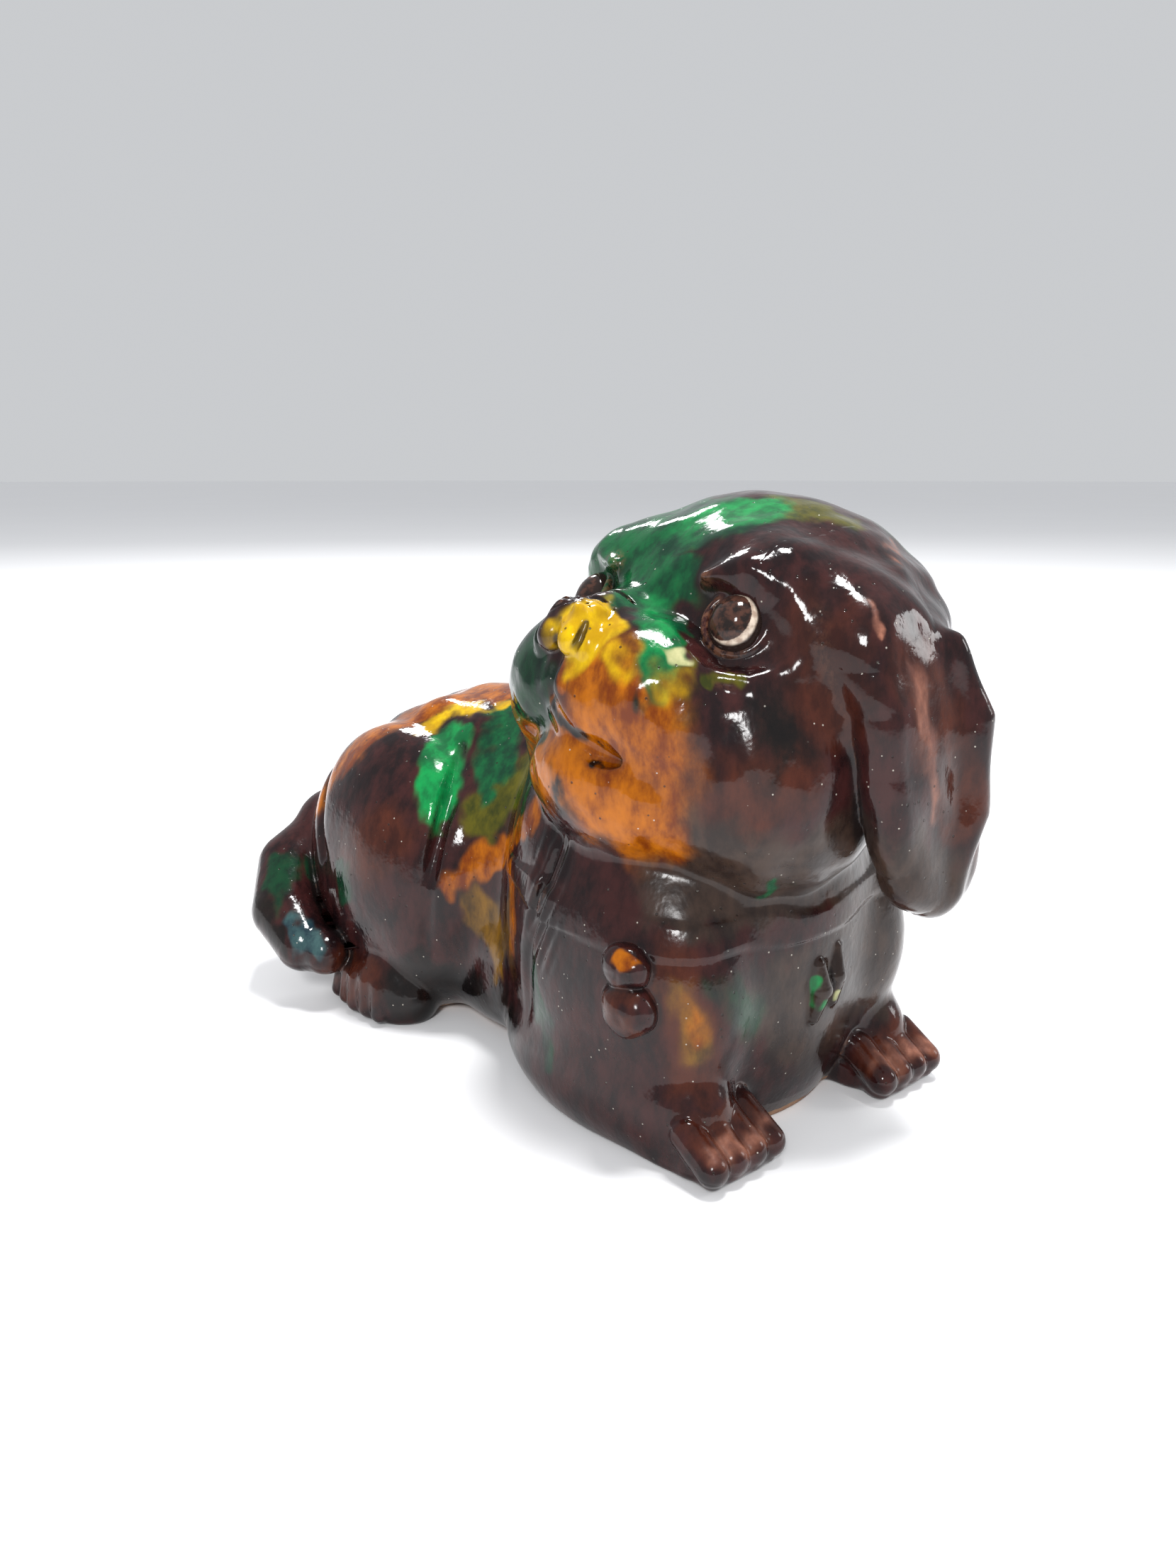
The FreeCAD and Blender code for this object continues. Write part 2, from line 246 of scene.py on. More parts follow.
def far_ear(p):
    """The right flap, resting on the back behind the turned head."""
    side_on = p[..., (0, 2)]
    outline = strand(side_on, [(4.5, 86), (6.5, 78), (8.5, 68)], [8.5, 12.5, 12.5])
    return flap(outline, p[..., 1] - 69.0 + 0.10 * (p[..., 2] - 75.0), 4.4) - 0.25 * wobble(p, 11.0, 8)


def about_nose(h):
    """Head coordinates about the middle of the muzzle, which sits a little to the dog's right."""
    return h + np.array([MUZZLE_LEAN, 0.0, 0.0], dtype=h.dtype)


def face_forms(h):
    """Skull, cheeks, lips and jaw, in head coordinates, with the eye sockets and the mouth pressed in."""
    q = mirrored(h)
    skull = ellipsoid(h, (0, 2.8, 7.0), (35.5, 35, 32))
    form = join(skull, ellipsoid(q, (19, -6, -12), (16.5, 23, 21.5)), 11)
    form = join(form, ellipsoid(q, (14, -20, 15.5), (12, 10, 8)), 9)
    form = join(form, ellipsoid(h, (0, -15, -24.5), (20, 19.5, 12.5)), 7)
    form = join(form, ellipsoid(h, (0, -26.0, -22.5), (15, 10.5, 9.0)), 7)
    form = carve(form, ellipsoid(q, (15.8, -34.6, 6.4), (7.5, 6.0, 6.5)), 7)
    m = about_nose(h)
    n = mirrored(m)
    lips = ellipsoid(n, (9.2, -27.5, -8.4), (12.4, 14.0, 12.4))
    lips = join(lips, ellipsoid(n, (15, -24, -11), (11, 11, 11)), 8)
    lips = join(lips, ellipsoid(m, (1.5, -31.0, -8.5), (10.5, 11.8, 12.0)), 5)
    lips = join(lips, ellipsoid(n, (6.5, -29.5, -3.5), (9.5, 11.0, 8.5)), 5)
    bridge = strand(m, [(0, -24, 3.5), (0, -35, -1.0)], [9.0, 7.0])
    form = join(form, join(lips, bridge, 5), 4)
    for line, widths, soft in FACE_CUTS:
        form = carve(form, strand(m, line, widths), soft)
    for line, widths, soft in FACE_ROLLS:
        form = join(form, strand(q, line, widths), soft)
    return form


FACE_CUTS = [
    ([(0, -43.6, -4), (-1.2, -42.6, -9), (-2.2, -41.4, -14)], [1.0, 1.3, 1.3], 1.8),
    ([(-2.2, -41.4, -14), (0.8, -41.2, -16.6), (4.5, -39.4, -19.2), (8.5, -36.6, -20.6),
      (12.4, -33.2, -20.4)], [1.2, 1.5, 1.7, 1.6, 0.9], 2.2),
    ([(-2.2, -41.4, -14), (-6, -39.0, -18.0), (-9.5, -35.8, -20.4), (-12.4, -33.2, -20.4)],
     [1.2, 1.5, 1.5, 0.9], 2.2),
]
FACE_ROLLS = [
    ([(9.0, -33.6, 1.0), (13, -33.2, -1.6), (18, -30.8, -3.0), (23.5, -26.4, -1.8), (26.5, -22.0, 2.0)],
     [0.6, 1.1, 1.3, 1.0, 0.4], 3.5),
    ([(11.5, -32.0, 12.5), (17.5, -29.4, 15.4), (23.5, -24.8, 13.4), (26.5, -21, 8), (26.5, -20.5, 2)],
     [0.3, 0.7, 0.8, 0.7, 0.3], 6.0),
]


def face_wobble(p):
    """Unevenness of the head: gentle on the face, and beaten into broad facets behind the near ear."""
    h = to_head(p)
    beaten = window(h[..., 0], 18, 60, 10) * window(h[..., 1], -14, 60, 8)
    return (0.24 + 0.40 * beaten) * wobble(p, 12.0, 5) + 0.06 * wobble(p, 4.0, 6)


def nose_form(h):
    """A squarish wrinkled pad over two small nostril bumps."""
    h = about_nose(h) + np.array(NOSE_SHIFT, dtype=h.dtype)
    q = mirrored(h)
    pad = rounded_block(h, (0, -38.6, 1.8), (6.2, 4.8, 4.2), 3.8) - 0.3 * wobble(h, 3.2, 12)
    bump = ellipsoid(q, (2.7, -42.0, -1.4), (2.4, 2.4, 2.9))
    wing = ellipsoid(q, (5.8, -38.6, -1.8), (2.6, 4.0, 3.8))
    return join(join(pad, bump, 2.0), wing, 2.2)


def nose_marks(h):
    """Thin cuts: the slit between the nostrils, one beside each, and the wrinkles over the pad."""
    h = about_nose(h) + np.array(NOSE_SHIFT, dtype=h.dtype)
    q = mirrored(h)
    cuts = strand(h, [(0.2, -44.8, -4.6), (0.4, -44.6, -1.6), (-0.3, -43.8, 1.0)], [0.6, 0.7, 0.4])
    wing = strand(q, [(4.8, -43.2, -4.6), (5.4, -42.8, -1.6), (5.0, -42.4, 1.4)], [0.7, 0.7, 0.4])
    cuts = np.minimum(cuts, wing)
    for line in NOSE_WRINKLES:
        cuts = np.minimum(cuts, strand(h, line, [0.2, 0.45, 0.4, 0.2]))
    return cuts


NOSE_WRINKLES = [
    [(-4.6, -41.0, 4.4), (-1.6, -42.2, 5.6), (1.6, -42.4, 5.2), (4.2, -41.6, 3.8)],
    [(-3.8, -43.2, 2.4), (-1.0, -43.4, 4.2), (1.4, -42.0, 5.8), (3.8, -39.8, 6.0)],
    [(-4.8, -37.6, 5.6), (-1.2, -39.2, 6.6), (2.0, -39.0, 6.6), (5.0, -37.8, 5.2)],
    [(-5.0, -34.8, 8.0), (-1.4, -35.8, 9.2), (1.8, -35.6, 9.2), (5.2, -34.4, 7.8)],
    [(1.2, -43.6, 3.4), (0.4, -41.6, 6.2), (-0.8, -39.6, 6.6), (-1.8, -37.4, 7.2)],
]


def eye_rim(h):
    """The low swelling of clay that holds each eyeball."""
    q = mirrored(h) - np.array(EYE_MIDDLE, dtype=h.dtype)
    out = np.array([0.50, -0.85, 0.13], dtype=h.dtype)
    out /= np.sqrt(out @ out)
    height = q @ out
    flat = np.sqrt(np.maximum((q ** 2).sum(-1) - height ** 2, 0.0))
    return np.sqrt((flat - 5.0) ** 2 + (height - 0.4) ** 2) - 0.7


def bell_form(p):
    """A round bell with a dent in its middle."""
    ball = ellipsoid(p, (-34.6, 18.9, 28.8), (4.0, 5.6, 5.0)) - 0.15 * wobble(p, 5.0, 9)
    return carve(ball, ellipsoid(p, (-40.0, 17.0, 28.0), (1.8, 1.5, 1.6)), 1.2)


def knot_form(p):
    """The knot over the bell, cut by two crossing slits."""
    knot = ellipsoid(p, (-34.2, 20.0, 35.8), (3.6, 4.9, 4.1)) - 0.15 * wobble(p, 4.0, 10)
    slit = strand(p, [(-37.6, 19.8, 39.0), (-38.6, 18.4, 36.2), (-37.4, 19.0, 32.8)], [0.3, 0.7, 0.3])
    slit = np.minimum(slit, strand(p, [(-37.6, 23.0, 35.0), (-38.4, 19.0, 35.6)], [0.2, 0.5]))
    return carve(knot, slit, 0.8)


def tassel_form(p):
    left = strand(p, [(-1.6, 6.2, 31.5), (-1.2, 5.6, 27), (-1.8, 6.4, 21.5)], [1.6, 2.3, 1.2])
    right = strand(p, [(3.6, 6.4, 33.5), (3.0, 5.8, 28.5), (3.4, 6.6, 23.5)], [1.2, 2.1, 1.3])
    return join(left, right, 0.8)


def combed_hair(p):
    """Comb lines down the rear of each shoulder."""
    q = mirrored(p)
    place = window(q[..., 2], 26, 58, 9) * window(q[..., 1], 34, 48, 6) * window(q[..., 0], 24, 60, 5)
    phase = COMB_RATE * (q[..., 1] + 0.30 * q[..., 2] + 0.9 * np.sin(0.16 * q[..., 2] + 1.0))
    return COMB_DEPTH * place * np.sin(phase)


def worked_body(p):
    """The body with its collar, its comb lines and the marks of fingers."""
    return body_form(p) - COLLAR_PROUD * collar_raise(p) - combed_hair(p) - FINGER_MARKS * wobble(p, 17.0, 3)


def worked_head(p):
    return face_forms(to_head(p)) - face_wobble(p)


def ear_join(p):
    """How softly the near ear runs into the head: not at all at its tip, wholly at its root."""
    return 2.0 + 15.0 * window(p[..., 2], 68.0, 150.0, 24.0)


def clay(p):
    """Distance to the whole puppy, to each of its named forms, and the points in head coordinates."""
    q = mirrored(p)
    h = to_head(p)
    band = collar_raise(p)
    forms = {
        "band": band,
        "body": within(p, (-99, -99, -99), (99, 199, 100), worked_body),
        "leg": within(q, (0, -20, -9), (50, 78, 32), foreleg_form),
        "foot": within(q, (12, 74, -9), (60, 130, 32), hind_foot_form),
        "tail": within(p, (-70, 88, -9), (0, 160, 60), tail_form),
        "bell": within(p, (-55, 5, 12), (-18, 36, 50), bell_form),
        "bell_knot": within(p, (-55, 5, 20), (-18, 36, 55), knot_form),
        "tassel": within(p, (-16, -8, 8), (18, 22, 50), tassel_form),
        "head": within(p, (-60, -30, 28), (70, 100, 130), worked_head),
        "nose": within(h, (-20, -60, -20), (20, -22, 20), nose_form),
        "ear_left": within(p, (-22, -30, 28), (40, 12, 112), near_ear),
        "ear_right": within(p, (-22, 50, 40), (38, 92, 112), far_ear),
    }
    whole = join(forms["body"], forms["leg"], 4.0)
    whole = join(whole, forms["foot"], 2.0)
    whole = join(whole, forms["tail"], 2.0)
    whole = join(whole, join(forms["bell_knot"], forms["bell"], 0.6), 0.7)
    whole = join(whole, forms["tassel"], 1.2)
    skull = join(forms["head"], forms["nose"], 1.2)
    skull = carve(skull, within(h, (-16, -60, -16), (16, -26, 20), nose_marks), 0.7)
    skull = join(skull, forms["ear_left"], ear_join(p))
    skull = join(skull, forms["ear_right"], 2.5)
    skull = join(skull, within(h, (-35, -45, -8), (35, -12, 24), eye_rim), 1.0)
    whole = join(whole, skull, 3.0)
    vent = np.maximum(np.hypot(p[..., 0], p[..., 1] - VENT_REAR) - VENT_RADIUS, p[..., 2] - VENT_DEPTH)
    whole = carve(whole, vent, 0.6)
    whole = carve(whole, p[..., 2], 1.2)
    return whole, forms, h


CELL = 0.6
CELLS_PER_BLOCK = 8
BLOCK_REACH = 1.35
SLOPE_REACH = 0.15
CREASE_AND_RIDGE_REACH = 1.3
FIELD_LOW = np.array([-58.0, -15.0, -2.4])
FIELD_HIGH = np.array([50.0, 142.0, 116.0])
CORNERS = [(i, j, k) for i in (0, 1) for j in (0, 1) for k in (0, 1)]
EDGES = [(a, b) for a in range(8) for b in range(a + 1, 8) if bin(a ^ b).count("1") == 1]


def in_slices(function, points, size=32768):
    """Runs a function of many points a slice at a time."""
    return np.concatenate([function(points[at:at + size]) for at in range(0, len(points), size)])


def distance(points):
    return in_slices(lambda part: clay(part)[0], points)


def slope(points, reach):
    """Unit direction in which the distance grows."""
    rise = np.zeros_like(points)
    for axis in range(3):
        step = np.zeros(3, dtype=points.dtype)
        step[axis] = reach
        rise[:, axis] = distance(points + step) - distance(points - step)
    return rise / np.maximum(np.linalg.norm(rise, axis=1, keepdims=True), 1e-9)


def sample_field(cell):
    """The distance on a lattice, worked out only in the blocks that the surface may cross."""
    size = cell * CELLS_PER_BLOCK
    blocks = np.ceil((FIELD_HIGH - FIELD_LOW) / size).astype(int)
    place = np.stack(np.meshgrid(*[np.arange(n) for n in blocks], indexing="ij"), -1).reshape(-1, 3)
    middle = (FIELD_LOW + (place + 0.5) * size).astype(np.float32)
    reach = distance(middle)
    lattice = np.full(blocks * CELLS_PER_BLOCK + 1, FAR, dtype=np.float32)
    span = CELLS_PER_BLOCK + 1
    for (i, j, k), gap in zip(place * CELLS_PER_BLOCK, reach):
        if gap < 0.0:
            lattice[i:i + span, j:j + span, k:k + span] = -FAR
    near = place[np.abs(reach) < size * BLOCK_REACH] * CELLS_PER_BLOCK
    local = np.stack(np.meshgrid(*[np.arange(span)] * 3, indexing="ij"), -1).reshape(-1, 3)
    index = (near[:, None, :] + local[None, :, :]).reshape(-1, 3)
    values = distance((FIELD_LOW + index * cell).astype(np.float32))
    lattice[index[:, 0], index[:, 1], index[:, 2]] = values
    return lattice


def surface_mesh(cell):
    """Vertices in millimetres and the quads between them, by surface nets."""
    lattice = sample_field(cell)
    inside = (lattice < 0.0).astype(np.int8)
    count = sum(inside[i:inside.shape[0] - 1 + i, j:inside.shape[1] - 1 + j, k:inside.shape[2] - 1 + k]
                for i, j, k in CORNERS)
    cells = np.argwhere((count > 0) & (count < 8))
    number = np.full(count.shape, -1, dtype=np.int32)
    number[tuple(cells.T)] = np.arange(len(cells))
    at_corner = np.stack([lattice[tuple((cells + corner).T)] for corner in CORNERS], 1)
    total = np.zeros((len(cells), 3))
    crossings = np.zeros((len(cells), 1))
    for a, b in EDGES:
        va, vb = at_corner[:, a], at_corner[:, b]
        crossed = (va < 0.0) != (vb < 0.0)
        share = np.clip(va / np.where(crossed, va - vb, 1.0), 0.0, 1.0)[:, None]
        spot = np.array(CORNERS[a]) + share * (np.array(CORNERS[b]) - np.array(CORNERS[a]))
        total += np.where(crossed[:, None], spot, 0.0)
        crossings[:, 0] += crossed
    verts = FIELD_LOW + cell * (cells + total / crossings)
    quads = []
    for axis in range(3):
        low = [slice(None)] * 3
        high = [slice(None)] * 3
        low[axis], high[axis] = slice(None, -1), slice(1, None)
        start, end = inside[tuple(low)], inside[tuple(high)]
        edge = np.argwhere(start != end)
        u, v = (axis + 1) % 3, (axis + 2) % 3
        edge = edge[(edge[:, u] > 0) & (edge[:, v] > 0)]
        ring = []
        for du, dv in ((-1, -1), (0, -1), (0, 0), (-1, 0)):
            at = edge.copy()
            at[:, u] += du
            at[:, v] += dv
            ring.append(number[tuple(at.T)])
        ring = np.stack(ring, 1)
        outward = start[tuple(edge.T)] > 0
        ring[~outward] = ring[~outward][:, ::-1]
        quads.append(ring)
    quads = np.concatenate(quads)
    return verts.astype(np.float32), np.concatenate([quads[:, [0, 1, 2]], quads[:, [0, 2, 3]]])


def split_fine(verts, faces, chosen):
    """Splits the chosen triangles in four, and their neighbours so that every corner still meets."""
    count = len(verts)
    ends = np.sort(np.stack([faces, np.roll(faces, -1, 1)], -1), -1).astype(np.int64)
    key = ends[..., 0] * count + ends[..., 1]
    halved = np.unique(key[chosen])
    at = np.minimum(np.searchsorted(halved, key), len(halved) - 1)
    found = halved[at] == key
    middle = count + at
    verts = np.concatenate([verts, 0.5 * (verts[halved // count] + verts[halved % count])])
    all_three = found.all(1)
    f, m = faces[all_three], middle[all_three]
    parts = [faces[~found.any(1)], m]
    parts += [np.stack([f[:, i], m[:, i], m[:, i - 1]], 1) for i in range(3)]
    some = found.any(1) & ~all_three
    f, m, split = faces[some], middle[some], found[some]
    hub = len(verts) + np.arange(len(f))
    verts = np.concatenate([verts, verts[f].mean(1)])
    for i in range(3):
        after = f[:, (i + 1) % 3]
        kept, cut = ~split[:, i], split[:, i]
        parts.append(np.stack([f[kept, i], after[kept], hub[kept]], 1))
        parts.append(np.stack([f[cut, i], m[cut, i], hub[cut]], 1))
        parts.append(np.stack([m[cut, i], after[cut], hub[cut]], 1))
    return verts.astype(np.float32), np.concatenate(parts)


def finely_worked(points):
    """True where the clay holds small detail: the face, the toes and the pendants."""
    h = to_head(points)
    face = (h[:, 1] < -20.0) & (np.abs(h[:, 0]) < 30.0) & (h[:, 2] > -26.0) & (h[:, 2] < 20.0)
    side = np.abs(points[:, 0])
    toes = (points[:, 1] < 22.0) & (side > 11.0) & (points[:, 2] < 16.0)
    hind = (side > 34.0) & (points[:, 1] > 88.0) & (points[:, 1] < 116.0) & (points[:, 2] < 15.0)
    bell = (points[:, 0] < -30.0) & (np.abs(points[:, 1] - 19.5) < 8.0) & (np.abs(points[:, 2] - 31.5) < 10.0)
    tassel = (side < 7.0) & (points[:, 1] < 9.0) & (np.abs(points[:, 2] - 27.0) < 10.0)
    return face | toes | hind | bell | tassel


def settle(verts, rounds):
    """Moves vertices on to the surface."""
    for _ in range(rounds):
        verts = verts - np.clip(distance(verts), -0.5, 0.5)[:, None] * slope(verts, 0.12)
    return verts


def puppy_mesh(cell):
    """The whole surface as triangles, finer where the clay is finely worked."""
    verts, faces = surface_mesh(cell)
    verts = settle(verts, 1)
    verts, faces = split_fine(verts, faces, finely_worked(verts[faces].mean(1)))
    return settle(verts, 1), faces


# Glazes, and some painted light among them: each splash is a paint, the points it runs through, its radius at
# each, and how soft its edge is.
# The kiln let them run, so they are long and their edges are blurred.
SPLASHES = [
    ("green", [(-15, 52, 101), (-9, 40, 104), (-6, 28, 107)], [11, 12, 8], 5),
    ("green", [(-19, 38, 96), (-17, 27, 98)], [6, 5], 4),
    ("green", [(-24, 27, 95), (-27, 20, 90), (-30, 17, 86), (-34, 17, 81)], [3.6, 4.0, 3.2, 2.0], 2.5),
    ("bright", [(-7, 30, 108), (-1, 23, 109)], [5, 5], 5),
    ("green", [(-18, 31, 98), (-24, 28, 96), (-24, 22, 92)], [5, 5, 4], 3),
    ("bright", [(-21, 27, 94), (-26, 24, 92), (-27, 20, 89), (-31, 19.5, 86)], [2.0, 2.6, 2.6, 1.2], 6),
    ("deep", [(-33, 18.5, 83.5), (-34.5, 19.2, 80)], [1.3, 0.8], 2),
    ("olive", [(3, 22, 110), (10, 15, 106)], [4.5, 4], 3.5),
    ("wear", [(20, 12, 103), (13, 5, 102), (5, -3, 99)], [0.8, 0.8, 0.5], 4),
    ("amber", [(20, 34, 108), (32, 34, 98), (40, 32, 84), (42, 31, 72)], [3.5, 5, 4.5, 2], 5),
    ("olive", [(12, 40, 110), (24, 44, 104)], [4, 3], 5),
    ("green", [(24, 18, 103), (34, 14, 92), (39, 12, 78), (39, 10, 66)], [4, 4.5, 3.5, 1.5], 5),
    ("rust", [(34, 24, 66), (38, 36, 60)], [7, 7], 9),
    ("deep", [(-33, 47, 84), (-36, 43, 77)], [9, 6], 4),
    ("yellow", [(-35, 31, 91), (-31, 30, 95)], [6.4, 3.6], 4),
    ("yellow", [(-28.5, 14.5, 84.5), (-32, 16, 82.5)], [1.6, 1.2], 8),
    ("yellow", [(-33.5, 24, 87), (-32, 22, 86)], [1.6, 0.8], 6),
    ("ochre", [(-30, 13, 80), (-33, 17, 78)], [2.0, 2.0], 8),
    ("amber", [(-37, 24, 82), (-35, 19.5, 74), (-33, 22, 64), (-29, 19, 57)], [8.5, 10.5, 10, 5], 10),
    ("amber", [(-35, 30, 71), (-36, 44, 69), (-28, 54, 68)], [9, 8, 6], 5),
    ("rust", [(-22, 6, 66), (-24, 10, 58), (-18, 2, 70)], [7, 7, 6], 9),
    ("amber", [(-37, 34, 90), (-37, 33, 84)], [3, 2.6], 2),
    ("soot", [(-39, 34, 66), (-36, 33, 60)], [1.6, 2.2], 4),
    ("soot", [(-38, 36, 86), (-37.1, 35.5, 82), (-36.4, 36.4, 77), (-36, 32.7, 74.6), (-35.7, 30.4, 73.1),
              (-34.4, 27.3, 71.6), (-33.2, 24.4, 71.0)], [1.2, 1.5, 1.8, 1.7, 1.5, 1.0, 0.4], 2.0),
    ("soot", [(-19, 4, 81), (-17, 3, 74), (-20, 4, 69)], [3, 4, 2], 10),
    ("pale", [(-27, 17.5, 89), (-25.5, 15.5, 86.5)], [1.3, 1.0], 1.6),
    ("olive", [(-25, 15, 86), (-21, 10, 84)], [1.5, 1.5], 1.5),
    ("rust", [(-9, 3, 90), (-10, 1, 80)], [6, 7], 12),
    ("rust", [(1, -10, 86), (6, -11, 74), (12, -11, 60)], [6, 6, 5], 8),
    # Painted highlights: pinkish streaks down the near ear, here and on the next line.
    ("wear", [(0, -9, 88), (2, -10.5, 79), (3.5, -10.8, 68), (5.0, -10.8, 60)], [0.9, 1.5, 1.0, 0.5], 5),
    ("wear", [(19, -10, 80), (21, -9, 66), (17, -10, 48)], [0.8, 1.2, 0.8], 5),
    ("wear", [(-6, -1, 101), (-6, -3, 94), (-8, -8, 90)], [0.8, 1.0, 0.5], 1.4),
    # Painted reflection: a grey-brown veil over the neck and chest, partly a greyer glaze and partly the grey
    # sheen these surfaces take from the room.
    ("smoke", [(-24, 14, 52), (0, 0, 52), (26, 6, 50)], [11, 11, 11], 7),
    ("smoke", [(0, -12, 52), (14, -12, 44)], [7, 7], 8),
    ("smoke", [(20, 4, 30), (0, 4, 22), (-10, 6, 26)], [16, 13, 9], 8),
    ("green", [(-14, 6.5, 47)], [1.6], 1.5),
    ("rust", [(-31, 12, 40), (-28, 10, 18)], [4.0, 5.0], 7),
    ("ochre", [(-30, 11.5, 33), (-28.5, 10, 21)], [1.4, 2.2], 6),
    ("amber", [(-29.5, 11, 31), (-28.5, 10, 24)], [0.6, 1.2], 5),
    ("deep", [(-24, 8.5, 33), (-17, 8, 26)], [2, 4], 7),
    ("amber", [(-36.5, 18, 37)], [2.4], 1.6),
    ("rust", [(-37, 18, 29)], [4.0], 2),
    ("bright", [(-2.5, 4.5, 29), (-2.5, 4.8, 25)], [1.6, 1.9], 1.2),
    ("pale", [(3.2, 4.2, 27), (3.4, 4.6, 24)], [0.9, 0.8], 1.2),
    ("deep", [(-36, 43, 30), (-36, 41, 20), (-36.5, 38, 11)], [1.5, 2.1, 1.7], 2),
    ("amber", [(-38, 122, 42), (-34, 110, 56), (-22, 108, 64), (-6, 106, 70), (-2, 84, 72), (0, 62, 71)],
     [3, 4.5, 7, 9, 9, 7], 5),
    ("yellow", [(-24, 99, 60), (-15, 97, 66), (-10, 86, 69)], [1.6, 2.6, 2.4], 4),
    ("bright", [(-21, 91, 62), (-25, 88, 56), (-30, 83, 50), (-32, 82, 45)], [4.2, 5.0, 3.2, 1.8], 2.8),
    ("green", [(-12, 84, 69), (-17, 79, 62), (-22, 76, 54)], [6, 5.5, 3.5], 3.5),
    ("olive", [(-18, 66, 58), (-25, 74, 48)], [6.5, 5.5], 5),
    ("amber", [(-32, 76, 34), (-27, 70, 41), (-30, 56, 50), (-31, 50, 55)], [3, 3.4, 3.2, 2.4], 2.8),
    ("amber", [(-31, 57, 40), (-33, 54, 31), (-33, 56, 24)], [3, 2.6, 1.2], 2.5),
    ("ochre", [(-28, 72, 30), (-29, 66, 24), (-29, 63, 16)], [3.6, 3.0, 1.8], 3),
    ("deep", [(-42, 103, 32), (-42, 101, 26)], [3, 2.6], 3),
    ("rust", [(-38, 90, 42), (-41, 99, 36)], [7, 6], 10),
    ("deep", [(-41, 120, 30), (-40, 121, 25)], [2.2, 2.4], 2.5),
    ("deep", [(-46, 124, 29), (-52, 119, 24)], [3.4, 3], 3.5),
    ("blue", [(-50, 112, 21), (-49, 107, 16)], [3, 3], 2.5),
    ("soot", [(-54, 122, 22), (-54, 114, 15)], [4, 3], 4),
    ("rust", [(-42, 96, 9), (-43, 108, 8)], [6, 5], 5),
    ("rust", [(-16, 3, 10), (-30, 3, 10)], [5, 5], 6),
    ("rust", [(16, 3, 10), (30, 3, 10)], [5, 5], 6),
    # Painted highlights on the knuckles of the forepaws, here and on the next line.
    ("wear", [(-16, 3, 8), (-30, 3, 7)], [1.2, 1.2], 6),
    ("wear", [(16, 3, 8), (30, 3, 7)], [1.2, 1.2], 6),
    # Painted shade: a near-black band along the bottom of the puppy's right side, next to the floor.
    ("soot", [(-34, 60, 6), (-34, 84, 8)], [9, 9], 6),
    ("green", [(16, 92, 66), (24, 84, 56), (31, 80, 42), (32, 78, 30)], [6, 5, 3.2, 1.6], 3.5),
    ("bright", [(20, 96, 63), (27, 93, 56)], [3.6, 2.8], 3),
    ("amber", [(30, 116, 50), (38, 110, 38), (40, 108, 28)], [4.5, 3.6, 2], 3.5),
    ("amber", [(36, 122, 42), (32, 112, 56), (22, 108, 64), (8, 104, 68)], [3, 4.5, 6, 5], 6),
    ("olive", [(18, 66, 58), (25, 74, 48), (28, 72, 38)], [6, 5, 3], 6),
    ("rust", [(38, 92, 44), (42, 102, 34)], [8, 7], 10),
    ("rust", [(30, 64, 30), (35, 42, 32)], [8, 8], 10),
    ("rust", [(32, 22, 94), (41, 32, 86), (42, 40, 72)], [8, 8, 7], 10),
    ("ochre", [(27, 72, 44), (28, 66, 32), (29, 64, 20)], [4.5, 3.6, 2], 3.5),
    ("amber", [(33, 52, 50), (35, 44, 36), (35, 46, 24)], [3.6, 3, 1.6], 3),
    ("deep", [(36, 34, 30), (35, 30, 18)], [3, 2.4], 3),
    ("green", [(26, 46, 98), (34, 42, 90), (38, 40, 80)], [7, 5.5, 3], 4),
    ("amber", [(16, 58, 98), (24, 60, 88), (28, 56, 76)], [5.5, 4.5, 2.5], 4),
    ("amber", [(0, 74, 84), (6, 74, 74)], [4, 3], 3),
    ("deep", [(12, 74, 80), (14, 74, 68)], [3.4, 3], 3),
    ("green", [(10, 128, 44), (14, 132, 32)], [5, 3], 4),
    ("amber", [(0, 128, 50), (-4, 133, 36)], [4, 2.4], 3.5),
]
PAINTS = sorted({splash[0] for splash in SPLASHES})


def drift(p):
    """Moves points a little, and more up and down than across, so that glaze edges wander and run."""
    squat = p * np.array([1.0, 1.0, 0.45], dtype=p.dtype)
    shift = np.stack([wobble(squat, 9.0, 21), wobble(squat, 9.0, 22), 1.6 * wobble(squat, 6.0, 23)], -1)
    fine = np.stack([wobble(squat, 2.8, 24), wobble(squat, 2.8, 25), 1.5 * wobble(squat, 2.4, 26)], -1)
    return p + 1.0 * shift + 0.6 * fine


def paint_weights(points):
    """How strongly each paint lies at each point, from 0 to 1."""
    moved = in_slices(drift, points)
    weights = {paint: np.zeros(len(points), dtype=np.float32) for paint in PAINTS}
    for paint, run, widths, soft in SPLASHES:
        if len(run) == 1:
            gap = np.linalg.norm(moved - np.array(run[0], dtype=np.float32), axis=1) - widths[0]
        else:
            gap = strand(moved, run, widths)
        level = np.clip(0.5 - gap / soft, 0.0, 1.0)
        weights[paint] = np.maximum(weights[paint], level * level * (3.0 - 2.0 * level))
    return weights


def creases_and_ridges(points, normals, reach):
    """1 in creases, where glaze gathers and where the colour is darkened as painted shade, and 0 on open
    ground; then the same for ridges, where it thins.
    """
    crease = np.clip(1.0 - distance(points + reach * normals) / reach, 0.0, 1.0)
    ridge = np.clip(1.0 + distance(points - reach * normals) / reach, 0.0, 1.0)
    return crease, ridge


FORM_NAMES = ["body", "head", "leg", "foot", "tail", "nose", "ear_left", "ear_right", "bell", "bell_knot",
              "tassel"]


